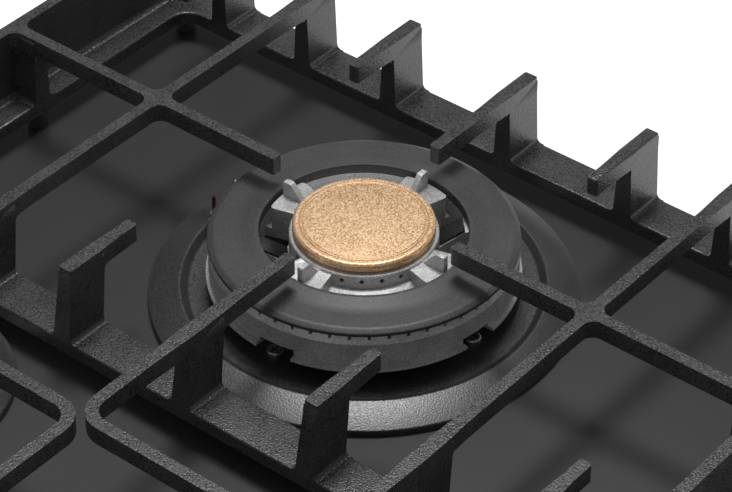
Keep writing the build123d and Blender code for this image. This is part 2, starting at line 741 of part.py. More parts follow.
def inlet_shifts(name):
    return (-6.5, 6.5) if name == "big" else (0.0,)


def make_injectors():
    """Brass jets standing on the cups' floors: two in the big burner, one in each other."""
    floor = CUP_BOTTOM + CUP_WALL
    jets = []
    for name in BURNERS:
        for shift in inlet_shifts(name):
            jet = disc(INJECTOR_R, floor, floor + INJECTOR_LENGTH * 0.6)
            jet += disc(INJECTOR_R * 0.6, floor, floor + INJECTOR_LENGTH)
            jet -= disc(INJECTOR_JET_R, floor - 1, floor + INJECTOR_LENGTH + 1)
            jets.append(on_plate(Pos(shift, 0, 0) * jet, name))
    return Compound(children=jets)


def pan_head(radius, height):
    """A screw's head with a rounded upper edge, standing on the origin."""
    return lathe([(0, 0), (radius, 0), (radius, height), (0, height)], [0, 0, height / 2, 0])


def make_burner_screws():
    """Pan-head screws with a cross slot, down through drip ring and cup flange."""
    half = SCREW_CROSS / 2
    wall = SCREW_CROSS_WIDTH / 2
    deep = SCREW_HEAD - SCREW_CROSS_DEPTH
    head = pan_head(SCREW_HEAD_R, SCREW_HEAD)
    head -= block(-half, half, -wall, wall, deep, SCREW_HEAD + 1)
    head -= block(-wall, wall, -half, half, deep, SCREW_HEAD + 1)
    screw = Pos(0, 0, RING_FLOOR) * head + disc(SCREW_R, RING_FLOOR - SCREW_LENGTH, RING_FLOOR)
    screws = []
    for name in BURNERS:
        for x, y in screw_places(name):
            screws.append(on_plate(Pos(x, y, 0) * screw, name))
    return Compound(children=screws)


def plug_place(name, deg):
    return polar(plug_radius(name), deg)


def make_plugs():
    """Ceramic bodies with a collar and a flat-sided foot for the lead."""
    half = PLUG_TERMINAL / 2
    body = disc(PLUG_R, PLUG_FOOT, PLUG_TIP - 4) + disc(PLUG_TIP_R, PLUG_TIP - 4, PLUG_TIP)
    body += block(-half, half, -half, half, PLUG_BOTTOM, PLUG_FOOT)
    body -= disc(ELECTRODE_R, PLUG_FOOT, PLUG_TIP + 1)
    return [on_plate(Pos(*plug_place(n, PLUG_DEG)) * body, n) for n in BURNERS]


def make_electrodes():
    rod = disc(ELECTRODE_R, PLUG_FOOT, ELECTRODE_TIP)
    return [on_plate(Pos(*plug_place(n, PLUG_DEG)) * rod, n) for n in BURNERS]


def make_thermocouples():
    body = disc(THERMO_R, THERMO_BOTTOM, THERMO_TIP - 5)
    tip = lathe([(0, THERMO_TIP - 5), (THERMO_R * 0.6, THERMO_TIP - 5),
                 (THERMO_R * 0.6, THERMO_TIP), (0, THERMO_TIP)], [0, 0, 0.9, 0])
    return [on_plate(Pos(*plug_place(n, THERMO_DEG)) * (body + tip), n) for n in BURNERS]


# ---- big burner ----------------------------------------------------------------------------------
def fin():
    """One upright fin of the crown, along +X: its top runs level, then down to the cap's edge."""
    root = CROWN_R - 2
    outline = FilletPolyline(
        (root, 0, CROWN_FLOOR), (FIN_TIP_R, 0, CROWN_FLOOR), (FIN_TIP_R, 0, FIN_TOP - FIN_CHAMFER),
        (FIN_TIP_R - FIN_CHAMFER, 0, FIN_TOP), (FIN_TIP_R - FIN_TOP_RUN, 0, FIN_TOP),
        (CROWN_R + FIN_FOOT_RUN, 0, CROWN_TOP - CROWN_EDGE_R),
        (root, 0, CROWN_TOP - CROWN_EDGE_R), radius=[0, 0, 0, 0, FIN_CURVE_R, 0, 0], close=True)
    blade = Pos(0, FIN_THICK / 2, 0) * extrude(make_face(outline), FIN_THICK, dir=(0, -1, 0))
    return Rot(0, 0, FIN_TURN_DEG) * blade


def land(start_deg, end_deg):
    """A raised land of the crown with its two outer corners rounded."""
    block_out = sector(CROWN_R - 1, CROWN_OUTER_R, HEAD_SKIRT_BOTTOM, CROWN_LAND_TOP,
                       start_deg, end_deg)
    upright = block_out.edges().filter_by(Axis.Z)
    corners = [e for e in upright if (e @ 0.5).X ** 2 + (e @ 0.5).Y ** 2 > CROWN_R ** 2]
    return fillet(corners, CROWN_LAND_CORNER_R)


def crown():
    """Lands, sloping floors under the gas ports, fins and the wall that the bare cap sits on."""
    low = HEAD_SKIRT_BOTTOM
    wall_in = CROWN_R - CROWN_WALL
    floor_ring = lathe([(CROWN_R - 1, low), (CROWN_OUTER_R, low), (CROWN_OUTER_R, CROWN_FLOOR),
                        (CROWN_R + PORT_LEDGE, PORT_FLOOR), (CROWN_R - 1, PORT_FLOOR)])
    body = lathe([(wall_in, low), (CROWN_R, low), (CROWN_R, CROWN_TOP), (wall_in, CROWN_TOP)],
                 [0, 0, CROWN_EDGE_R, 0])
    for middle in PORT_VALLEYS:
        start = middle - 45 + LAND_TO_PORTS_DEG
        end = middle + 45 - LAND_TO_PORTS_DEG
        body += floor_ring & wedge(CROWN_OUTER_R, low, PORT_FLOOR, start, end)
        body += land(middle - 45 - LAND_TO_SPOKE_DEG, start)
        body += land(end, middle + 45 + LAND_TO_SPOKE_DEG)
    body += [Rot(0, 0, 90 * turn) * fin() for turn in range(4)]
    port = Pos(wall_in - 1, 0, PORT_Z) * sideways_rod(PORT_R, CROWN_WALL + 2)
    for middle in PORT_VALLEYS + SPOKE_VALLEYS:
        first = middle - (PORTS_PER_SIDE - 1) / 2 * PORT_PITCH_DEG
        body -= [Rot(0, 0, first + i * PORT_PITCH_DEG) * port for i in range(PORTS_PER_SIDE)]
    return body


def channel_in():
    """The inner radius of the outer gas channel, a clearance outside the ring cap's bore."""
    return RING_CAP_BORE_R + CAP_SPIGOT_GAP + CHANNEL_CLEAR


def strip_height(radius):
    """The height of a spoke's cover strip at a distance from the axis: it falls to the centre."""
    return STRIP_IN_Z + (radius - CROWN_R) * STRIP_SLOPE


def spoke():
    """A drafted bar along +X from crown to channel, its top a ramp for the cover strip."""
    low = HEAD_SKIRT_BOTTOM
    inner = CROWN_R - 1
    outer = channel_in() + 1
    half_low = SPOKE_WIDTH / 2 + SPOKE_DRAFT
    half_top = SPOKE_WIDTH / 2
    section = Polyline((inner, -half_low, low), (inner, half_low, low),
                       (inner, half_top, SPOKE_TOP), (inner, -half_top, SPOKE_TOP), close=True)
    bar = extrude(make_face(section), outer - inner, dir=(1, 0, 0))
    under = STRIP_THICKNESS * (1 + STRIP_SLOPE ** 2) ** 0.5
    ramp_end = CROWN_R + (SPOKE_TOP + under - STRIP_IN_Z) / STRIP_SLOPE
    above = Polyline((inner - 1, half_low + 1, strip_height(inner - 1) - under),
                     (ramp_end, half_low + 1, SPOKE_TOP),
                     (ramp_end, half_low + 1, SPOKE_TOP + 9),
                     (inner - 1, half_low + 1, SPOKE_TOP + 9), close=True)
    return bar - extrude(make_face(above), 2 * half_low + 2, dir=(0, -1, 0))


def duct_cover(shift):
    """A spoke's cover strip along +X, its outer corners inside the ring cap's bore."""
    half = STRIP_ON_SPOKE_WIDTH / 2
    inner = CROWN_R + STRIP_END_GAP
    outer = ((RING_CAP_BORE_R - STRIP_END_GAP) ** 2 - (half + shift) ** 2) ** 0.5
    under = STRIP_THICKNESS * (1 + STRIP_SLOPE ** 2) ** 0.5
    outline = Polyline((inner, half, strip_height(inner) - under),
                       (outer, half, strip_height(outer) - under),
                       (outer, half, strip_height(outer)), (inner, half, strip_height(inner)),
                       close=True)
    return extrude(make_face(outline), 2 * half, dir=(0, -1, 0))


def make_duct_covers():
    """The smooth strips that lie on the two spokes."""
    return [Rot(0, 0, deg) * Pos(0, shift, 0) * duct_cover(shift) for deg, shift in SPOKES]


def make_big_head():
    """One aluminium casting: outer gas channel with its skirt and feet, spokes and crown."""
    low = HEAD_SKIRT_BOTTOM
    neck = HEAD_NECK_R
    neck_in = neck - HEAD_NECK_WALL
    bore = channel_in()
    wall_in = HEAD_BAND_R - HEAD_WALL
    crown_in = CROWN_R - CROWN_WALL
    body = lathe([(bore, low), (HEAD_R, low), (HEAD_R, HEAD_TOP - HEAD_BAND_HEIGHT),
                  (HEAD_BAND_R, HEAD_TOP), (wall_in, HEAD_TOP), (wall_in, low + HEAD_FLOOR),
                  (bore + CHANNEL_WALL, low + HEAD_FLOOR), (bore + CHANNEL_WALL, HEAD_TOP),
                  (bore, HEAD_TOP)], [0, 0.4, 0.35, 0, 0, 1, 1, 0, 0])
    body += tube(bore + 0.5, crown_in, low, CROWN_FLOOR)
    for middle in SPOKE_VALLEYS:
        half = 45 - LAND_TO_SPOKE_DEG
        body -= sector(CROWN_R, bore, low - 1, CROWN_FLOOR + 1, middle - half, middle + half)
    body += tube(collar_radius("big") + HEAD_SEAT_WIDTH, neck_in, CUP_SEAT, low)
    body += tube(neck, neck_in, CUP_FLANGE_TOP - HEAD_NECK_DEPTH, low)
    body += tube(crown_in + 1, neck_in, low - 2, low)
    body += crown()
    duct_length = bore + CHANNEL_WALL + 1 - (crown_in - 1)
    duct = Pos(crown_in - 1, 0, SPOKE_DUCT_Z) * sideways_rod(SPOKE_DUCT_R, duct_length)
    for deg, shift in SPOKES:
        turn = Rot(0, 0, deg) * Pos(0, shift, 0)
        body += turn * spoke()
        body -= turn * duct
    foot_in = HEAD_R - TAB_WIDTH
    for start, end in TAB_SPANS:
        body += sector(foot_in, HEAD_R - TAB_STEP, low - TAB_DEPTH, low, start, end)
        body += sector(foot_in, TAB_LEDGE_R, low - TAB_DEPTH, low - TAB_DEPTH + TAB_THICK,
                       start, end)
    slot = block(wall_in - 1, HEAD_R, -SLOT_WIDTH / 2, SLOT_WIDTH / 2,
                 HEAD_TOP - SLOT_DEPTH, HEAD_TOP + 1)
    slots = [Rot(0, 0, SLOT_START_DEG + i * 360 / SLOT_COUNT) * slot for i in range(SLOT_COUNT)]
    return body - slots


def make_ring_cap():
    """The black ring over the outer channel: its top rises gently to the bore."""
    bore = RING_CAP_BORE_R
    rim_in = channel_in() + CHANNEL_WALL + CAP_SPIGOT_GAP
    rim_out = HEAD_BAND_R - HEAD_WALL - CAP_SPIGOT_GAP
    low = HEAD_TOP - RING_CAP_SPIGOT
    wall = CAP_SPIGOT_WALL
    outline = [((bore, HEAD_TOP), 0), ((rim_in, HEAD_TOP), 0), ((rim_in, low), 0),
               ((rim_in + wall, low), 0), ((rim_in + wall, HEAD_TOP), 0),
               ((rim_out - wall, HEAD_TOP), 0), ((rim_out - wall, low), 0), ((rim_out, low), 0),
               ((rim_out, HEAD_TOP), 0), ((RING_CAP_R, HEAD_TOP), RING_CAP_UNDER_ROUND),
               ((RING_CAP_R, RING_CAP_TOP - RING_CAP_DROP), RING_CAP_EDGE_R),
               ((RING_CAP_R - RING_CAP_SHOULDER, RING_CAP_TOP), RING_CAP_SHOULDER_R),
               ((RING_CAP_RISE_R, RING_CAP_TOP), RING_CAP_RISE_ROUND),
               ((bore + RING_CAP_LIP_WIDTH, RING_CAP_LIP), RING_CAP_LIP_ROUND),
               ((bore, RING_CAP_LIP), RING_CAP_LIP_ROUND)]
    return lathe([corner for corner, _ in outline], [rounding for _, rounding in outline])


def make_brass_cap():
    """The bare brass-coloured cap: rounded edge, one turned groove and a locating rim."""
    r = BRASS_CAP_R
    rim = CROWN_R - CROWN_WALL - CAP_SPIGOT_GAP
    wall = CAP_SPIGOT_WALL
    groove = BRASS_GROOVE
    top = BRASS_CAP_TOP
    low = CROWN_TOP - BRASS_RIM_DEPTH
    return lathe([(0, CROWN_TOP), (rim - wall, CROWN_TOP), (rim - wall, low), (rim, low),
                  (rim, CROWN_TOP), (r - BRASS_UNDERCUT, CROWN_TOP),
                  (r, CROWN_TOP + BRASS_UNDERCUT), (r, top), (BRASS_GROOVE_R + groove, top),
                  (BRASS_GROOVE_R, top - groove), (BRASS_GROOVE_R - groove, top), (0, top)],
                 [0, 0, 0, 0, 0, 0.5, 0.5, BRASS_EDGE_R, 0, 0, 0, 0])


# ---- small burners -------------------------------------------------------------------------------
def small_crown_radius(name):
    return HEAD_RADII[name] - SMALL_CROWN_INSET


def make_small_head(name):
    """A small burner's casting: neck, flared seat, skirt and slotted crown."""
    radius = HEAD_RADII[name]
    neck = neck_radius(name)
    inside = neck - SMALL_WALL
    collar = collar_radius(name)
    ring = small_crown_radius(name)
    wall = SMALL_WALL
    top = SMALL_HEAD_TOP
    low = SMALL_SKIRT_BOTTOM
    step = low + SMALL_SKIRT_HEIGHT
    neck_low = CUP_FLANGE_TOP - HEAD_NECK_DEPTH
    head = lathe([(inside, neck_low), (neck, neck_low), (neck, CUP_SEAT), (collar + 2, CUP_SEAT),
                  (radius - 5, low), (radius, low), (radius, step), (ring, step + 1.5),
                  (ring, top), (ring - wall, top), (ring - wall, low + wall),
                  (inside, low - 1)], [0, 0, 0, 0, 1, 0.6, 0.6, 0.8, 0, 0, 2, 2])
    slot = block(ring - wall - 1, ring + 1, -SMALL_SLOT_WIDTH / 2, SMALL_SLOT_WIDTH / 2,
                 top - SMALL_SLOT_HEIGHT, top + 1)
    return head - [Rot(0, 0, i * 360 / SMALL_SLOTS) * slot for i in range(SMALL_SLOTS)]


def make_small_cap(name):
    """A small burner's enamelled cap with a locating rim inside the crown."""
    radius = HEAD_RADII[name] - SMALL_CAP_INSET
    rim = small_crown_radius(name) - SMALL_WALL - SMALL_RIM_GAP
    low = SMALL_HEAD_TOP
    top = low + SMALL_CAP_THICK
    return lathe([(0, low), (rim - 2, low), (rim - 2, low - 2), (rim, low - 2), (rim, low),
                  (radius, low), (radius, top), (0, top)],
                 [0, 0, 0, 0, 0, 1.0, SMALL_CAP_EDGE_R, 0])


# ---- knobs and taps ------------------------------------------------------------------------------
def make_knob():
    """A hollow knob with a raised grip across its top and a socket for the stem."""
    low = KNOB_GAP
    top = KNOB_GAP + KNOB_HEIGHT
    waist = top - KNOB_GRIP_HEIGHT
    body = lathe([(0, low), (KNOB_R, low), (KNOB_TOP_R, waist), (0, waist)], [0, 0.6, 2.0, 0])
    grip = extrude(Pos(0, 0, waist - 2) * SlotOverall(2 * KNOB_TOP_R - 3, KNOB_GRIP_WIDTH,
                                                      rotation=90), KNOB_GRIP_HEIGHT + 2)
    grip = fillet(grip.faces().sort_by(Axis.Z)[-1].edges(), 1.5)
    body += grip
    hollow = lathe([(0, low - 1), (KNOB_R - KNOB_WALL, low - 1),
                    (KNOB_TOP_R - KNOB_WALL, waist - KNOB_WALL), (0, waist - KNOB_WALL)])
    body -= hollow - disc(KNOB_SOCKET_R, 0, 50)
    line = block(-0.6, 0.6, KNOB_TOP_R - 7.5, KNOB_TOP_R, top - 0.6, top + 1)
    body -= line
    return body - disc(STEM_R, low - 1, waist)


def make_stem():
    """The tap's stem: round above, with a square key below that drives the tap plug."""
    shoulder = TAP_PLUG_BOTTOM + TAP_PLUG_LENGTH + PUSH_TRAVEL + STEM_CLEAR - PLATE_TOP
    knob_end = KNOB_GAP + KNOB_HEIGHT - KNOB_GRIP_HEIGHT
    half = STEM_KEY / 2
    key_low = TAP_PLUG_BOTTOM + TAP_PLUG_FLOOR + PUSH_TRAVEL + STEM_CLEAR - PLATE_TOP
    stem = disc(STEM_R, shoulder, knob_end)
    return stem + block(-half, half, -half, half, key_low, shoulder)


def make_tap_plug():
    """The turning plug in the tap, with a square socket for the stem's key."""
    low = TAP_PLUG_BOTTOM - PLATE_TOP
    half = STEM_KEY / 2 + STEM_GAP
    plug = disc(TAP_PLUG_R, low, low + TAP_PLUG_LENGTH)
    plug -= block(-half, half, -half, half, low + TAP_PLUG_FLOOR, low + TAP_PLUG_LENGTH + 1)
    return plug


def make_tap(outlets):
    """A gas tap: saddle on the rail, bore for the plug, lid hole, outlets and magnet unit."""
    half = TAP_WIDTH / 2
    length = TAP_LENGTH / 2
    body = block(-half, half, -length, length, RAIL_Z, TAP_TOP)
    body += Pos(half, 0, MAGNET_Z) * sideways_rod(MAGNET_R, MAGNET_LENGTH)
    for shift in outlets:
        outlet = Pos(shift, 0, tap_outlet_z())
        body += outlet * rearward_rod(TAP_OUTLET_R, length + TAP_OUTLET_LENGTH)
        body -= outlet * rearward_rod(PIPE_R - PIPE_WALL, length + TAP_OUTLET_LENGTH + 1)
    body -= Rot(0, 90, 0) * Pos(-RAIL_Z, 0, 0) * Cylinder(RAIL_R + TAP_SADDLE_GAP, 4 * half)
    bore_top = TAP_PLUG_BOTTOM + TAP_PLUG_LENGTH
    body -= disc(TAP_PLUG_R + TAP_PLUG_GAP, TAP_PLUG_BOTTOM, bore_top)
    body -= disc(TAP_CHAMBER, bore_top - 1, TAP_TOP - TAP_LID)
    body -= disc(STEM_R + STEM_GAP, TAP_TOP - TAP_LID - 1, TAP_TOP + 1)
    body -= disc(TAP_GAS_WAY_R, RAIL_Z, TAP_PLUG_BOTTOM + 1)
    return body


def tap_outlet_z():
    return PLATE_TOP + INLET_Z


def make_knob_seals():
    bore = STEM_R + SEAL_GAP
    seal = tube(SEAL_R, bore, 0, SEAL_THICK)
    seal += tube(STEM_R + STEM_HOLE_GAP - SEAL_GAP, bore, -PLATE_THICK, SEAL_THICK)
    return [Pos(x, KNOB_Y, PLATE_TOP) * seal for x in KNOB_X]


# ---- gas rail and pipes --------------------------------------------------------------------------
def sweep_round(points, radius, bend, bore=0.0):
    path = FilletPolyline(*points, radius=bend)
    start = Plane(origin=path @ 0, z_dir=path % 0)
    pipe = sweep(start * Circle(radius), path=path)
    if bore > 0:
        pipe -= sweep(start * Circle(bore), path=path)
    return pipe


def make_rail():
    length = RAIL_END_RIGHT - RAIL_END_LEFT
    middle = (RAIL_END_RIGHT + RAIL_END_LEFT) / 2
    rail = Rot(0, 90, 0) * (Cylinder(RAIL_R, length)
                            - Pos(0, 0, RAIL_WALL) * Cylinder(RAIL_R - RAIL_WALL,
                                                               length - 2 * RAIL_WALL))
    rail = Pos(middle, KNOB_Y, RAIL_Z) * rail
    for x in KNOB_X:
        rail -= Pos(x, KNOB_Y, 0) * disc(TAP_GAS_WAY_R, RAIL_Z, RAIL_Z + RAIL_R + 1)
    return rail


def make_inlet_pipe():
    """From the rail's right-hand end round to the elbow at the back right."""
    x0 = RAIL_END_RIGHT
    elbow_front = BOX_DEPTH / 2 - BOX_SHEET - ELBOW_SIZE
    points = [(x0, KNOB_Y, RAIL_Z), (INLET_PIPE_X, KNOB_Y, RAIL_Z),
              (INLET_PIPE_X, elbow_front - 60, RAIL_Z),
              (INLET_PIPE_X, elbow_front - 25, elbow_height()),
              (INLET_PIPE_X, elbow_front, elbow_height())]
    bends = [INLET_PIPE_BEND_R, 2 * INLET_PIPE_BEND_R, 2 * INLET_PIPE_BEND_R]
    return sweep_round(points, INLET_PIPE_R, bends, INLET_PIPE_R - INLET_PIPE_WALL)


def make_elbow():
    """The inlet block in the back right corner, with its male thread through the back wall."""
    back = BOX_DEPTH / 2 - BOX_SHEET
    half = ELBOW_SIZE / 2
    x = elbow_x()
    z = elbow_height()
    body = block(x - half, x + half, back - ELBOW_SIZE, back, z - half, z + half)
    body += Pos(x, back, z) * rearward_rod(THREAD_R, BOX_SHEET + THREAD_LENGTH)
    return body - Pos(x, back - ELBOW_SIZE + ELBOW_WALL, z) * rearward_rod(
        THREAD_BORE_R, ELBOW_SIZE + THREAD_LENGTH)


def burner_pipe_routes():
    """Plan routes of the burner pipes from tap outlet to cup boss, all at one height."""
    start = KNOB_Y + TAP_LENGTH / 2 + TAP_OUTLET_LENGTH
    left, front, back, big = (BURNERS[name][0] for name in ("left", "front", "back", "big"))
    end = {name: BURNERS[name][1] - inlet_face(name) for name in BURNERS}
    side_x = KNOB_X[2] + PIPE_SIDE_STEP
    routes = [
        [(KNOB_X[0], start), (KNOB_X[0], start + 75), (left, end["left"] - 40), (left, end["left"])],
        [(KNOB_X[1], start), (KNOB_X[1], start + 28), (front, end["front"] - 26),
         (front, end["front"])],
        [(KNOB_X[2], start), (KNOB_X[2], start + 44), (side_x, start + 84),
         (side_x, end["back"] - 78), (back, end["back"] - 20), (back, end["back"])],
    ]
    for shift in inlet_shifts("big"):
        turn = shift * PIPE_PAIR_STEP
        routes.append([(KNOB_X[3] + shift, start), (KNOB_X[3] + shift, start + 64 - turn),
                       (big + shift, end["big"] - 40 - turn), (big + shift, end["big"])])
    return routes


def make_burner_pipes():
    z = tap_outlet_z()
    pipes = []
    for route in burner_pipe_routes():
        pipes.append(sweep_round([(x, y, z) for x, y in route], PIPE_R, PIPE_BEND_R,
                                 PIPE_R - PIPE_WALL))
    return pipes


def make_pipe_nuts():
    z = tap_outlet_z()
    nut = extrude(RegularPolygon(NUT_R, 6), NUT_LENGTH)
    nut -= disc(PIPE_R + SCREW_FIT, -1, NUT_LENGTH + 1)
    nuts = []
    for route in burner_pipe_routes():
        x0, y0 = route[0]
        x1, y1 = route[-1]
        nuts.append(Pos(x0, y0, z) * Rot(-90, 0, 0) * nut)
        nuts.append(Pos(x1, y1, z) * Rot(90, 0, 0) * nut)
    return nuts


def make_rail_brackets():
    """Two folded saddles that carry the rail from the box's floor."""
    half = BRACKET_WIDTH / 2
    depth = BRACKET_DEPTH / 2
    saddle = block(-half, half, -depth, depth, BOX_SHEET, RAIL_Z)
    saddle -= Pos(0, 0, RAIL_Z) * Rot(0, 90, 0) * Cylinder(RAIL_R + SCREW_FIT, 2 * BRACKET_WIDTH)
    places = (RAIL_END_LEFT + BRACKET_INSET, RAIL_END_RIGHT - BRACKET_INSET)
    return [Pos(x, KNOB_Y, 0) * saddle for x in places]


# ---- electrics -----------------------------------------------------------------------------------
def make_generator():
    sx, sy, sz = GENERATOR_SIZE
    x, y = GENERATOR_AT
    case = block(x - sx / 2, x + sx / 2, y - sy / 2, y + sy / 2, BOX_SHEET, BOX_SHEET + sz)
    case = fillet(case.edges().filter_by(Axis.Z), 2 * GENERATOR_EDGE_R)
    return fillet(case.faces().sort_by(Axis.Z)[-1].edges(), GENERATOR_EDGE_R)


def make_terminal():
    sx, sy, sz = TERMINAL_SIZE
    x = TERMINAL_X
    back = BOX_DEPTH / 2 - BOX_SHEET
    body = block(x - sx / 2, x + sx / 2, back - sy, back, BOX_SHEET, BOX_SHEET + sz)
    return body - Pos(x, back - CABLE_SOCKET, gland_height()) * rearward_rod(
        CABLE_HOLE_R, CABLE_SOCKET + 1)


def make_grommet():
    """The ring in the back wall that the mains cable goes through."""
    x = TERMINAL_X
    wall = BOX_DEPTH / 2 - BOX_SHEET
    place = Pos(x, wall, gland_height())
    ring = place * rearward_rod(GROMMET_R, BOX_SHEET)
    ring += Pos(0, BOX_SHEET, 0) * place * rearward_rod(GROMMET_R + GROMMET_LIP_WIDTH, GROMMET_LIP)
    return ring - Pos(0, -1, 0) * place * rearward_rod(CABLE_HOLE_R, GROMMET_LIP + BOX_SHEET + 2)


def plug_xy(name, deg):
    x, y = BURNERS[name]
    dx, dy = plug_place(name, deg)
    return x + dx, y + dy


def make_ignition_leads():
    """High-voltage leads from the generator's top to the spark plugs' feet, all at one height."""
    x, y = GENERATOR_AT
    top = BOX_SHEET + GENERATOR_SIZE[2]
    z = PLATE_TOP + PLUG_BOTTOM + IGNITION_LEAD_RISE
    back, left, big, front = (x + (i - 1.5) * LEAD_PITCH for i in range(4))
    feet = {name: plug_xy(name, PLUG_DEG) for name in BURNERS}
    half = PLUG_TERMINAL / 2
    back_x, back_y = feet["back"]
    left_x, left_y = feet["left"]
    big_x, big_y = feet["big"]
    front_x, front_y = feet["front"]
    routes = [
        [(back, y), (back, back_y + 26), (back_x, back_y + 26), (back_x, back_y + half)],
        [(left, y), (left, left_y + 34), (left_x, left_y + 34), (left_x, left_y + half)],
        [(big, y), (big, y + 90), (big + 105, GRATE_Y - 15), (big_x - 46, GRATE_Y - 15),
         (big_x - 46, big_y + 32), (big_x, big_y + 32), (big_x, big_y + half)],
        [(front, y), (front, y + 45), (front + 90, front_y), (front_x - half, front_y)],
    ]
    leads = []
    for route in routes:
        points = [(*route[0], top)] + [(px, py, z) for px, py in route]
        leads.append(sweep_round(points, LEAD_R, LEAD_BEND_R))
    return leads


def make_thermo_leads():
    """From the thermocouples' lower ends to the magnet units on the taps, all at one height."""
    z = MAGNET_Z
    reach = TAP_WIDTH / 2 + MAGNET_LENGTH
    tips = {name: plug_xy(name, THERMO_DEG) for name in BURNERS}
    taps = dict(zip(("left", "front", "back", "big"), KNOB_X))
    ways = {
        "left": [(-43, -90), (-43, tips["left"][1])],
        "front": [(33, -100), (33, tips["front"][1])],
        "back": [(-7, -80), (-7, tips["back"][1])],
        "big": [(-2, -90), (-2, tips["big"][1])],
    }
    leads = []
    for name, way in ways.items():
        start = taps[name] + reach
        channel = start + THERMO_LEAD_OUT
        tip_x, tip_y = tips[name]
        points = [(start, KNOB_Y, z), (channel, KNOB_Y, z), (channel, KNOB_Y + 50, z)]
        points += [(channel + dx, y, z) for dx, y in way]
        points += [(tip_x, tip_y, z), (tip_x, tip_y, PLATE_TOP + THERMO_BOTTOM)]
        leads.append(sweep_round(points, THERMO_LEAD_R, THERMO_LEAD_BEND_R))
    return leads


# ---- fixing --------------------------------------------------------------------------------------
def make_clamps():
    """Folded worktop clamps, screwed to the box's front and back walls."""
    clamps = []
    z = clamp_height()
    low = z - CLAMP_HEIGHT / 2 - CLAMP_DROP
    for side in (-1, 1):
        wall = side * BOX_DEPTH / 2
        y0, y1 = sorted((wall, wall + side * CLAMP_SHEET))
        f0, f1 = sorted((wall, wall + side * CLAMP_REACH))
        for x in (-CLAMP_X, CLAMP_X):
            x0, x1 = x - CLAMP_WIDTH / 2, x + CLAMP_WIDTH / 2
            plate = block(x0, x1, y0, y1, low, low + CLAMP_HEIGHT)
            plate += block(x0, x1, f0, f1, low, low + CLAMP_SHEET)
            hole = Pos(x, wall, z) * Rot(90, 0, 0) * Cylinder(CLAMP_SCREW_R + SCREW_FIT, 20)
            clamps.append(plate - hole)
    return clamps


def make_clamp_screws():
    screws = []
    z = clamp_height()
    for side in (-1, 1):
        face = side * (BOX_DEPTH / 2 + CLAMP_SHEET)
        for x in (-CLAMP_X, CLAMP_X):
            screw = pan_head(CLAMP_HEAD_R, CLAMP_HEAD) + disc(CLAMP_SCREW_R, -CLAMP_SCREW_LENGTH, 0)
            screws.append(Pos(x, face, z) * Rot(-90 * side, 0, 0) * screw)
    return screws


# ---- build everything ----------------------------------------------------------------------------
def group(pieces):
    return Compound(children=list(pieces))


def main():
    save(make_plate(), "glass_plate")
    save(make_box(), "under_box")
    save(make_gasket(), "edge_gasket")

    right = Pos(BIG_BURNER_X, GRATE_Y, PLATE_TOP) * make_grate()
    feet = Pos(BIG_BURNER_X, GRATE_Y, PLATE_TOP) * make_feet()
    swap = Pos(0, GRATE_Y, 0) * Rot(0, 0, 180) * Pos(0, -GRATE_Y, 0)
    save(right, "right_grate")
    save(feet, "right_grate_feet")
    save(swap * right, "left_grate")
    save(swap * feet, "left_grate_feet")

    for name in BURNERS:
        save(on_plate(make_drip_ring(name), name), f"{name}_drip_ring")
        save(on_plate(make_cup(name), name), f"{name}_cup")
    save(on_plate(make_big_head(), "big"), "big_head")
    save(on_plate(group(make_duct_covers()), "big"), "duct_covers")
    save(on_plate(make_ring_cap(), "big"), "big_ring_cap")
    save(on_plate(make_brass_cap(), "big"), "big_brass_cap")
    for name in SMALL_SIZES:
        save(on_plate(make_small_head(name), name), f"{name}_head")
        save(on_plate(make_small_cap(name), name), f"{name}_cap")
    save(make_injectors(), "injectors")
    save(make_burner_screws(), "burner_screws")
    save(group(make_plugs()), "spark_plugs")
    save(group(make_electrodes()), "spark_electrodes")
    save(group(make_thermocouples()), "thermocouples")

    knob = make_knob()
    stem = make_stem()
    plug = make_tap_plug()
    for i, x in enumerate(KNOB_X, start=1):
        outlets = inlet_shifts("big") if i == KNOB_COUNT else (0.0,)
        spot = Pos(x, KNOB_Y, PLATE_TOP)
        save(spot * knob, f"knob_{i}")
        save(spot * stem, f"stem_{i}")
        save(spot * plug, f"tap_plug_{i}")
        save(Pos(x, KNOB_Y, 0) * make_tap(outlets), f"tap_{i}")
    save(group(make_knob_seals()), "knob_seals")

    save(make_rail(), "gas_rail")
    save(group(make_rail_brackets()), "rail_brackets")
    save(make_inlet_pipe(), "inlet_pipe")
    save(make_elbow(), "inlet_elbow")
    save(group(make_burner_pipes()), "burner_pipes")
    save(group(make_pipe_nuts()), "pipe_nuts")
    save(make_generator(), "spark_generator")
    save(make_terminal(), "mains_terminal")
    save(make_grommet(), "cable_grommet")
    save(group(make_ignition_leads()), "ignition_leads")
    save(group(make_thermo_leads()), "thermocouple_leads")
    save(group(make_clamps()), "worktop_clamps")
    save(group(make_clamp_screws()), "clamp_screws")


main()
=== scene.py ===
# %% [markdown]
# # A built-in gas cooktop: the finish of every surface
# The construction is packed as a fixed frame. Here every piece gets the surface that the real one
# has: grained enamel on cast iron, coarse satin enamel on the drip rings, blasted aluminium and a
# bare copper-gold cap. Round pieces are turned on a lathe of bmesh operators, castings are clean
# copies of the frame's own meshes with softened edges.

# %% Load the frame
import json
import math

import bmesh
import bpy
from mathutils import Matrix, Vector


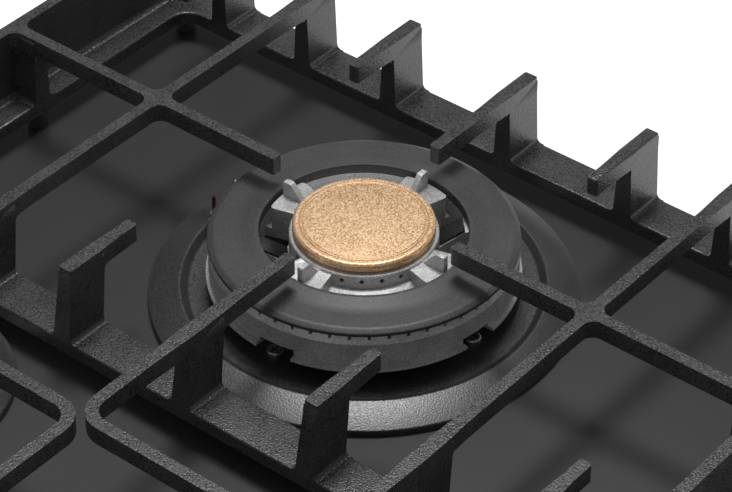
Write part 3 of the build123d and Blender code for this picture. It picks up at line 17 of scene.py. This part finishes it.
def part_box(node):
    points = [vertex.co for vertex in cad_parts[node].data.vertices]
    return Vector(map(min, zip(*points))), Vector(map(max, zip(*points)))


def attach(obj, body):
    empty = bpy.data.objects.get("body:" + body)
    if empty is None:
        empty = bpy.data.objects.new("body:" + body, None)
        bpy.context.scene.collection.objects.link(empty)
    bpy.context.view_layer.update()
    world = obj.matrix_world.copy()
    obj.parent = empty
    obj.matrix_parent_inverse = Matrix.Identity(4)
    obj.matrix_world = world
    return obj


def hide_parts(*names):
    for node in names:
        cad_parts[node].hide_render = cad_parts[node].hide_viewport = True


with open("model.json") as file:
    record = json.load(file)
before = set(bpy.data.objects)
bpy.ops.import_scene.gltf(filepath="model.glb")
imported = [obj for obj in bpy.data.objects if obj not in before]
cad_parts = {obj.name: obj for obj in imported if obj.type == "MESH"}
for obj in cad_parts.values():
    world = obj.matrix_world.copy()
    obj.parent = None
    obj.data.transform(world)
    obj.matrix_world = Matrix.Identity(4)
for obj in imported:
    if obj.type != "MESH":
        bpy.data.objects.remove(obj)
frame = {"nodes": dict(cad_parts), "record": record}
nodes = frame["nodes"]
body_of_node = {n: b for b, members in frame["record"]["behaviour"]["bodies"].items() for n in members}
slot_of_node = {s["node"]: s["material_slot"] for s in frame["record"]["subparts"]}
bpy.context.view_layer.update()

# %% [markdown]
# ## Places
# All places come from the frame: the burners' axes are the middles of their drip rings, and the
# glass plate's upper face is the height that the burners are measured from.

# %% Places of the burners
MM = 0.001


def middle(node):
    """The middle of a node's box, seen from above."""
    low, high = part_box(node)
    return (low.x + high.x) / 2, (low.y + high.y) / 2


plate_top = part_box("glass_plate")[1].z
burners = {name: middle(f"{name}_drip_ring") for name in ("big", "left", "back", "front")}
for name, (x, y) in burners.items():
    print(f"{name} burner at {x:.3f}, {y:.3f}")

# %% [markdown]
# ## The camera
# The photograph was taken with a long lens from the front left, looking down at about 38 degrees.
# The rotation is built from yaw, pitch and roll, because these three are what a photographer sets.

# %% The camera
CAMERA_AT = (-0.60224, -0.58807, 0.86725)
CAMERA_YAW, CAMERA_PITCH, CAMERA_ROLL = (math.radians(a) for a in (38.94, -38.42, 0.21))
LENS_MM = 149.85

camera = bpy.data.objects.new("camera", bpy.data.cameras.new("camera"))
bpy.context.scene.collection.objects.link(camera)
look = Vector((math.cos(CAMERA_PITCH) * math.cos(CAMERA_YAW),
               math.cos(CAMERA_PITCH) * math.sin(CAMERA_YAW),
               math.sin(CAMERA_PITCH)))
camera.rotation_mode = "QUATERNION"
roll_turn = Matrix.Rotation(CAMERA_ROLL, 3, "Z").to_quaternion()
camera.rotation_quaternion = look.to_track_quat("-Z", "Y") @ roll_turn
camera.location = CAMERA_AT
camera.data.lens = LENS_MM
camera.data.sensor_width = 36.0
camera.data.clip_start = 0.05
camera.data.clip_end = 50.0
bpy.context.scene.camera = camera
bpy.context.scene.view_settings.view_transform = "Standard"

# %% [markdown]
# ## Light
# One soft lamp hangs over the cooktop, a little behind it. Rounded edges that face halfway
# between the lamp and the lens catch it as thin bright lines, and upright faces stay almost black,
# as in the photograph. The surroundings are white at the horizon and dim above, so level
# surfaces mirror little.

# %% Lamps and surroundings
LAMP_SIZE = 0.5
LAMP_HEIGHT = 1.5
LAMP_POWER = 15.5
LAMP_TO_RIGHT, LAMP_TO_BACK = 0.3, 0.24


def add_lamp(name, size, place, power, aim):
    """A square soft lamp at a place, turned to face a point."""
    data = bpy.data.lights.new(name, "AREA")
    data.shape = "SQUARE"
    data.size = size
    data.energy = power
    lamp = bpy.data.objects.new(name, data)
    lamp.location = place
    lamp.rotation_mode = "QUATERNION"
    lamp.rotation_quaternion = (Vector(aim) - Vector(place)).to_track_quat("-Z", "Y")
    bpy.context.scene.collection.objects.link(lamp)
    return lamp


big_x, big_y = burners["big"]
lamp_place = (big_x + LAMP_TO_RIGHT, big_y + LAMP_TO_BACK, plate_top + LAMP_HEIGHT)
add_lamp("lamp_over", LAMP_SIZE, lamp_place, LAMP_POWER, (big_x, big_y, plate_top))

world = bpy.data.worlds.new("surroundings")
bpy.context.scene.world = world
world.use_nodes = True
sky = world.node_tree
sky_coordinates = sky.nodes.new("ShaderNodeTexCoord")
sky_height = sky.nodes.new("ShaderNodeSeparateXYZ")
sky_ramp = sky.nodes.new("ShaderNodeValToRGB")
sky.links.new(sky_coordinates.outputs["Generated"], sky_height.inputs["Vector"])
sky.links.new(sky_height.outputs["Z"], sky_ramp.inputs["Fac"])
sky.links.new(sky_ramp.outputs["Color"], sky.nodes["Background"].inputs["Color"])
SKY_STOPS = ((0.0, 1.0), (0.2, 1.0), (0.38, 0.16), (0.62, 0.12), (0.85, 0.3))
for position, level in SKY_STOPS:
    stops = sky_ramp.color_ramp.elements
    stop = stops.new(position) if position > 0 else stops[0]
    stop.position = position
    stop.color = (level, level, level, 1)
sky_ramp.color_ramp.elements.remove(sky_ramp.color_ramp.elements[-1])

# %% [markdown]
# ## The floor
# A plain pale floor lies under the box. To the lens it is a little brighter than the light makes
# it, through Light Path, so it is white where nothing shades it and still keeps the shadow.

# %% The floor
FLOOR_SIZE = 8.0
FLOOR_GREY = 0.8
FLOOR_ROUGHNESS = 0.9
FLOOR_GLOW = 0.55
bm = bmesh.new()
bmesh.ops.create_grid(bm, x_segments=1, y_segments=1, size=FLOOR_SIZE / 2)
floor_mesh = bpy.data.meshes.new("floor")
bm.to_mesh(floor_mesh)
bm.free()
floor = bpy.data.objects.new("floor", floor_mesh)
bpy.context.scene.collection.objects.link(floor)

floor_paint = bpy.data.materials.new("floor_white")
floor_paint.use_nodes = True
tree = floor_paint.node_tree
path = tree.nodes.new("ShaderNodeLightPath")
seen = tree.nodes.new("ShaderNodeMath")
seen.operation = "MAXIMUM"
seen_more = tree.nodes.new("ShaderNodeMath")
seen_more.operation = "MAXIMUM"
tree.links.new(path.outputs["Is Camera Ray"], seen.inputs[0])
tree.links.new(path.outputs["Is Glossy Ray"], seen.inputs[1])
tree.links.new(seen.outputs[0], seen_more.inputs[0])
tree.links.new(path.outputs["Is Transmission Ray"], seen_more.inputs[1])
glow = tree.nodes.new("ShaderNodeMath")
glow.operation = "MULTIPLY"
glow.inputs[1].default_value = FLOOR_GLOW
tree.links.new(seen_more.outputs[0], glow.inputs[0])
paint = tree.nodes["Principled BSDF"]
paint.inputs["Base Color"].default_value = (FLOOR_GREY, FLOOR_GREY, FLOOR_GREY, 1)
paint.inputs["Roughness"].default_value = FLOOR_ROUGHNESS
paint.inputs["Emission Color"].default_value = (1, 1, 1, 1)
tree.links.new(glow.outputs[0], paint.inputs["Emission Strength"])
floor_mesh.materials.append(floor_paint)

# %% [markdown]
# ## Grain
# Every coated or blasted surface here has a grain: the enamel on the castings, the coarser one on
# the drip rings, and the blasted metal. One node group makes it from two noises, one for the
# grains themselves and one for a slow unevenness, and each material sets its own size.

# %% The grain group
def group_socket(group, name, direction, kind, value=None):
    socket = group.interface.new_socket(name=name, in_out=direction, socket_type=kind)
    if value is not None:
        socket.default_value = value
    return socket


def make_grain_group():
    """Grain size per metre and slow unevenness in; height and a tone around 1 out."""
    group = bpy.data.node_groups.new("grain", "ShaderNodeTree")
    group_socket(group, "Grains per metre", "INPUT", "NodeSocketFloat", 1800.0)
    group_socket(group, "Patches per metre", "INPUT", "NodeSocketFloat", 60.0)
    group_socket(group, "Patch share", "INPUT", "NodeSocketFloat", 0.3)
    group_socket(group, "Height", "OUTPUT", "NodeSocketFloat")
    group_socket(group, "Tone", "OUTPUT", "NodeSocketFloat")
    n = group.nodes
    link = group.links.new
    start = n.new("NodeGroupInput")
    end = n.new("NodeGroupOutput")
    place = n.new("ShaderNodeTexCoord")
    fine = n.new("ShaderNodeTexNoise")
    fine.inputs["Detail"].default_value = 1.5
    fine.inputs["Roughness"].default_value = 0.55
    slow = n.new("ShaderNodeTexNoise")
    slow.inputs["Detail"].default_value = 2.0
    mix = n.new("ShaderNodeMix")
    mix.data_type = "FLOAT"
    tone = n.new("ShaderNodeMapRange")
    tone.inputs["From Min"].default_value = 0.36
    tone.inputs["From Max"].default_value = 0.64
    tone.inputs["To Min"].default_value = 0.0
    tone.inputs["To Max"].default_value = 1.0
    link(place.outputs["Object"], fine.inputs["Vector"])
    link(place.outputs["Object"], slow.inputs["Vector"])
    link(start.outputs["Grains per metre"], fine.inputs["Scale"])
    link(start.outputs["Patches per metre"], slow.inputs["Scale"])
    link(start.outputs["Patch share"], mix.inputs["Factor"])
    link(fine.outputs["Fac"], mix.inputs["A"])
    link(slow.outputs["Fac"], mix.inputs["B"])
    link(mix.outputs["Result"], tone.inputs["Value"])
    link(fine.outputs["Fac"], end.inputs["Height"])
    link(tone.outputs["Result"], end.inputs["Tone"])
    return group


grain_group = make_grain_group()

# %% [markdown]
# ## Materials
# A grained material is a Principled shader whose base colour and roughness run between two levels
# with the grain's tone, and whose Bump reads the grain's height. Numbers that are the same all
# over, such as metallic, sit on the shader's own sockets.

# %% A grained material
def grained(name, dark, light, rough, grains, patches=60.0, patch_share=0.3, bump=0.4, depth=0.1,
            metallic=0.0, specular=0.5):
    """dark and light are colours, rough a pair of roughness levels, depth the bump's in mm."""
    material = bpy.data.materials.new(name)
    material.use_nodes = True
    t = material.node_tree
    shader = t.nodes["Principled BSDF"]
    shader.inputs["Metallic"].default_value = metallic
    shader.inputs["Specular IOR Level"].default_value = specular
    grain = t.nodes.new("ShaderNodeGroup")
    grain.node_tree = grain_group
    grain.inputs["Grains per metre"].default_value = grains
    grain.inputs["Patches per metre"].default_value = patches
    grain.inputs["Patch share"].default_value = patch_share
    colour = t.nodes.new("ShaderNodeMix")
    colour.data_type = "RGBA"
    colour.inputs["A"].default_value = (*dark, 1)
    colour.inputs["B"].default_value = (*light, 1)
    t.links.new(grain.outputs["Tone"], colour.inputs["Factor"])
    t.links.new(colour.outputs["Result"], shader.inputs["Base Color"])
    level = t.nodes.new("ShaderNodeMapRange")
    level.inputs["To Min"].default_value = rough[0]
    level.inputs["To Max"].default_value = rough[1]
    t.links.new(grain.outputs["Tone"], level.inputs["Value"])
    t.links.new(level.outputs["Result"], shader.inputs["Roughness"])
    relief = t.nodes.new("ShaderNodeBump")
    relief.inputs["Strength"].default_value = bump
    relief.inputs["Distance"].default_value = depth * MM
    t.links.new(grain.outputs["Height"], relief.inputs["Height"])
    t.links.new(relief.outputs["Normal"], shader.inputs["Normal"])
    return material


def grey(level):
    return (level, level, level)


# %% [markdown]
# ## The coatings and metals
# Black enamel is not black under a soft lamp: its gloss veils it. So the colours below are darker
# than the tones that the eye reads, and the roughness sets how far the lamp's veil spreads.

# %% Coatings and metals
materials = {
    "plate_glass": grained("plate_glass", grey(0.029), grey(0.04), (0.36, 0.4), 1500, 9, 0.5,
                           0.15, 0.05),
    "enamelled_iron": grained("enamelled_iron", grey(0.01), grey(0.055), (0.25, 0.4), 1300, 70, 0.2,
                              0.85, 0.24, specular=0.8),
    "ring_enamel": grained("ring_enamel", grey(0.01), grey(0.038), (0.31, 0.45), 1500, 40, 0.15,
                           0.8, 0.13,
                           specular=0.95),
    "cap_enamel": grained("cap_enamel", grey(0.034), grey(0.07), (0.4, 0.52), 1500, 40, 0.2, 0.6,
                          0.12),
    "head_aluminium": grained("head_aluminium", grey(0.4), grey(0.72), (0.38, 0.52), 1500, 120, 0.25,
                              0.7, 0.12, metallic=0.55),
    "cup_aluminium": grained("cup_aluminium", grey(0.4), grey(0.55), (0.45, 0.6), 1200, 60, 0.4,
                             0.5, 0.15,
                             metallic=1.0),
    "cap_brass": grained("cap_brass", (0.6, 0.34, 0.17), (1.0, 0.73, 0.46), (0.34, 0.5), 1500, 50,
                         0.12,
                         0.85, 0.15, metallic=0.75),
    "fitting_brass": grained("fitting_brass", (0.6, 0.42, 0.18), (0.75, 0.55, 0.27), (0.3, 0.4),
                             900, 60, 0.4,
                             0.1, 0.03, metallic=1.0),
    "screw_steel": grained("screw_steel", grey(0.4), grey(0.55), (0.3, 0.42), 1500, 60, 0.4, 0.2,
                           0.04,
                           metallic=1.0),
    "strip_steel": grained("strip_steel", grey(0.07), grey(0.11), (0.26, 0.34), 900, 80, 0.5, 0.1,
                           0.03,
                           metallic=0.9),
    "electrode_steel": grained("electrode_steel", (0.1, 0.04, 0.03), (0.2, 0.09, 0.07), (0.25,
                               0.4), 1800,
                               90, 0.5, 0.2, 0.04, metallic=1.0),
    "pipe_steel": grained("pipe_steel", grey(0.45), grey(0.6), (0.28, 0.4), 700, 40, 0.5, 0.1, 0.03,
                          metallic=1.0),
    "zinc_steel": grained("zinc_steel", grey(0.38), grey(0.62), (0.34, 0.5), 260, 45, 0.5, 0.08, 0.03,
                          metallic=1.0),
    "tap_alloy": grained("tap_alloy", grey(0.42), grey(0.56), (0.4, 0.52), 1300, 60, 0.4, 0.3, 0.1,
                         metallic=1.0),
    # Spark plug ceramic: a slightly brownish tone darkened with painted shade, for the shadow beside
    # the burner skirt where it sits.
    "plug_ceramic": grained("plug_ceramic", (0.09, 0.06, 0.05), (0.14, 0.1, 0.085), (0.2, 0.3),
                            300, 40,
                            0.5, 0.05, 0.02),
    "thermocouple_copper": grained("thermocouple_copper", (0.34, 0.17, 0.1), (0.5, 0.27, 0.16),
                                   (0.28, 0.4),
                                   1500, 60, 0.4, 0.1, 0.03, metallic=1.0),
    "black_rubber": grained("black_rubber", grey(0.018), grey(0.03), (0.6, 0.75), 1600, 60, 0.4,
                            0.3, 0.05),
    "knob_plastic": grained("knob_plastic", grey(0.018), grey(0.03), (0.3, 0.38), 2000, 50, 0.3,
                            0.25, 0.05),
    "housing_plastic": grained("housing_plastic", (0.68, 0.68, 0.65), (0.76, 0.76, 0.73), (0.35,
                               0.45),
                               1500, 30, 0.4, 0.15, 0.04),
    "lead_silicone": grained("lead_silicone", (0.4, 0.05, 0.04), (0.55, 0.09, 0.07), (0.4, 0.5),
                             900, 40,
                             0.4, 0.1, 0.03),
}


def paint_piece(piece, slot):
    piece.data.materials.clear()
    piece.data.materials.append(materials[slot])


for name, node in nodes.items():
    paint_piece(node, slot_of_node[name])

# %% [markdown]
# ## Castings
# A node's mesh comes as loose triangles with sharp edges. A casting's edges are never sharp, so
# a copy is merged, its flat faces are joined again, and a Bevel modifier softens what is left.

# %% Soft-edged copies of castings
FLAT_DEG = 0.6
SMOOTH_DEG = 38.0
COPY_MERGE = 0.002 * MM
SPIN_MERGE = 0.001 * MM


def finish_piece(piece, node):
    """A new piece stands for one node: same body, same finish."""
    piece_slot = slot_of_node[node]
    paint_piece(piece, piece_slot)
    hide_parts(node)
    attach(piece, body_of_node[node])
    print(f"{piece.name}: {len(piece.data.polygons)} faces")
    return piece


def soft_copy(node, name, edge, segments=2, edge_angle=28.0):
    """The node's shape as one merged mesh with softened edges."""
    bm = bmesh.new()
    bm.from_mesh(nodes[node].data)
    bmesh.ops.remove_doubles(bm, verts=bm.verts, dist=COPY_MERGE)
    bmesh.ops.dissolve_limit(bm, angle_limit=math.radians(FLAT_DEG), verts=bm.verts, edges=bm.edges)
    mesh = bpy.data.meshes.new(name)
    bm.to_mesh(mesh)
    bm.free()
    mesh.shade_smooth()
    mesh.set_sharp_from_angle(angle=math.radians(SMOOTH_DEG))
    piece = bpy.data.objects.new(name, mesh)
    bpy.context.scene.collection.objects.link(piece)
    if edge > 0:
        soften = piece.modifiers.new("soft_edges", "BEVEL")
        soften.width = edge * MM
        soften.segments = segments
        soften.limit_method = "ANGLE"
        soften.angle_limit = math.radians(edge_angle)
        soften.use_clamp_overlap = True
        soften.harden_normals = True
    return finish_piece(piece, node)


for side in ("right", "left"):
    soft_copy(f"{side}_grate", f"{side}_pan_support", 0.9, 3)
soft_copy("big_head", "big_head_casting", 0.22, 2)
for name in ("left", "back", "front"):
    soft_copy(f"{name}_head", f"{name}_head_casting", 0.25, 2)

# %% [markdown]
# ## Small parts with broken edges
# Pressed covers, moulded knobs and rubber are never sharp either: each gets a fine rounding.

# %% Small soft-edged parts
SMALL_PARTS = (
    ("duct_covers", "big_gas_duct_covers", 0.3), ("knob_seals", "knob_seal_rings", 0.15),
    ("spark_plugs", "spark_plug_ceramics", 0.15), ("thermocouples", "thermocouple_tips", 0.1),
    ("burner_screws", "burner_fixing_screws", 0.12), ("clamp_screws", "worktop_clamp_screws", 0.12),
    ("rail_brackets", "gas_rail_brackets", 0.15),
    ("spark_generator", "spark_generator_housing", 0.5))
for node, name, edge in SMALL_PARTS:
    soft_copy(node, name, edge)
for number in (1, 2, 3, 4):
    soft_copy(f"knob_{number}", f"knob_{number}_moulding", 0.35, 3)
for side in ("right", "left"):
    soft_copy(f"{side}_grate_feet", f"{side}_rubber_feet", 0.3)

# %% [markdown]
# ## Turned and pressed rounds
# Caps and drip rings are round, so each is one profile spun about the burner's axis. The profile's
# corners are rounded first with a vertex bevel on a face, which keeps true arcs, and then only its
# edges are spun.

# %% The lathe
LATHE_STEPS = 160


def turned(name, node, burner, corners):
    """corners are (radius, height, rounding) in mm, by the burner's axis and the plate's top."""
    bm = bmesh.new()
    ring = [bm.verts.new((r * MM, 0, z * MM)) for r, z, _ in corners]
    bm.faces.new(ring)
    for vert, (_, _, rounding) in zip(ring, corners):
        if rounding > 0:
            bmesh.ops.bevel(bm, geom=[vert], offset=rounding * MM, offset_type="WIDTH",
                            segments=6, profile=0.5, affect="VERTICES", material=-1,
                            clamp_overlap=True)
    bm.faces.ensure_lookup_table()
    face = bm.faces[0]
    bmesh.ops.delete(bm, geom=[face], context="FACES_ONLY")
    on_axis = [e for e in bm.edges if all(v.co.x < 1e-7 for v in e.verts)]
    bmesh.ops.delete(bm, geom=on_axis, context="EDGES")
    bmesh.ops.spin(bm, geom=bm.verts[:] + bm.edges[:], cent=(0, 0, 0), axis=(0, 0, 1),
                   angle=2 * math.pi, steps=LATHE_STEPS, use_merge=True)
    bmesh.ops.remove_doubles(bm, verts=bm.verts, dist=SPIN_MERGE)
    bmesh.ops.recalc_face_normals(bm, faces=bm.faces)
    x, y = burners[burner]
    bmesh.ops.translate(bm, verts=bm.verts, vec=(x, y, plate_top))
    mesh = bpy.data.meshes.new(name)
    bm.to_mesh(mesh)
    bm.free()
    mesh.shade_smooth()
    mesh.set_sharp_from_angle(angle=math.radians(SMOOTH_DEG))
    piece = bpy.data.objects.new(name, mesh)
    bpy.context.scene.collection.objects.link(piece)
    return finish_piece(piece, node)


# %% [markdown]
# ## The copper-gold cap
# The cap in the middle is bare metal: turned, blasted to a fine grain, with a rounded edge and a
# double groove near it. Its face is left plain.

# %% The copper-gold cap
HEAD_TOP = 30.2
CROWN_TOP = 34.0
CAP_TOP = 38.9
CAP_R = 29.9
GROOVES = ((26.9, 0.45), (25.6, 0.3))


def groove(radius, depth, top):
    """A round-bottomed groove in a level face, from the rim inwards."""
    return [(radius + depth, top, 0.15), (radius, top - depth, 0.25), (radius - depth, top, 0.15)]


cap_corners = [(0, CROWN_TOP, 0), (CAP_R - 1.2, CROWN_TOP, 0.5), (CAP_R, CROWN_TOP + 1.6, 0.8),
               (CAP_R, CAP_TOP, 2.3)]
for radius, depth in GROOVES:
    cap_corners += groove(radius, depth, CAP_TOP)
cap_corners.append((0, CAP_TOP, 0))
turned("big_copper_gold_cap", "big_brass_cap", "big", cap_corners)

# %% [markdown]
# ## The black ring cap
# The ring lies on the outer gas channel. Its outer edge is a soft shoulder, its top rises gently
# to the bore, and two thin rims underneath keep it centred on the channel's walls.

# %% The black ring cap
RING_CAP = {"bore": 43.8, "outer": 65.2, "top": 33.2, "lip": 34.9, "rim": 27.7, "rise_from": 52.5}
CENTRING_RIMS = ((48.3, 50.3), (57.8, 59.8))
SHOULDER_WIDTH, SHOULDER_DROP, LIP_WIDTH = 2.5, 1.3, 1.5

ring_corners = [(RING_CAP["bore"], HEAD_TOP, 0.3)]
for inner, outer in CENTRING_RIMS:
    ring_corners += [(inner, HEAD_TOP, 0), (inner, RING_CAP["rim"], 0),
                     (outer, RING_CAP["rim"], 0), (outer, HEAD_TOP, 0)]
ring_corners += [
    (RING_CAP["outer"], HEAD_TOP, 0.9), (RING_CAP["outer"], RING_CAP["top"] - SHOULDER_DROP, 0.7),
    (RING_CAP["outer"] - SHOULDER_WIDTH, RING_CAP["top"], 1.4),
    (RING_CAP["rise_from"], RING_CAP["top"], 4.0),
    (RING_CAP["bore"] + LIP_WIDTH, RING_CAP["lip"], 0.6), (RING_CAP["bore"], RING_CAP["lip"], 0.5)]
turned("big_black_ring_cap", "big_ring_cap", "big", ring_corners)

# %% [markdown]
# ## Drip rings
# Each burner stands in a pressed, enamelled ring on the glass: a short upright edge, a sloping
# band up to a crest, and a sunk floor with a step down to the burner's cup.

# %% Drip rings
RING_TOP, RING_CREST, RING_FLOOR, CUP_TOP = 3.0, 7.9, 5.0, 2.4
CREST_WIDTH = 3.2
RING_SIZES = {"big": (90.8, 13.6, 28.5, 78.8), "left": (68.0, 9.0, 35.0, 57.3),
              "back": (55.0, 9.0, 24.5, 46.8), "front": (48.0, 9.0, 19.0, 41.3)}
for name, (outer, inset, bore, seat) in RING_SIZES.items():
    crest = outer - inset
    corners = [(outer, 0, 0), (outer, RING_TOP, 1.1), (crest, RING_CREST, 1.6),
               (crest - CREST_WIDTH, RING_FLOOR, 1.4), (bore, RING_FLOOR, 0.5), (bore, CUP_TOP, 0),
               (seat, CUP_TOP, 0), (seat, 0, 0)]
    turned(f"{name}_enamelled_drip_ring", f"{name}_drip_ring", name, corners)

# %% [markdown]
# ## Small burner caps
# Plain enamelled lids with a generous round at the rim and a hardly domed top.

# %% Small burner caps
CAP_LOW, SMALL_CAP_TOP = 27.6, 32.8
HEAD_RADII = {"left": 43.5, "back": 33.0, "front": 27.5}
RIM_INSET, RIM_SIZE, EDGE_INSET, DOME_INSET, DOME_DROP = 5.6, 2, 1.6, 9, 0.6
for name, head_r in HEAD_RADII.items():
    rim = head_r - RIM_INSET
    edge_r = head_r - EDGE_INSET
    corners = [(0, CAP_LOW, 0), (rim - RIM_SIZE, CAP_LOW, 0), (rim - RIM_SIZE, CAP_LOW - RIM_SIZE, 0),
               (rim, CAP_LOW - RIM_SIZE, 0), (rim, CAP_LOW, 0), (edge_r, CAP_LOW, 0.9),
               (edge_r, SMALL_CAP_TOP - DOME_DROP, 2.6), (head_r - DOME_INSET, SMALL_CAP_TOP, 6),
               (0, SMALL_CAP_TOP, 0)]
    turned(f"{name}_enamelled_cap", f"{name}_cap", name, corners)
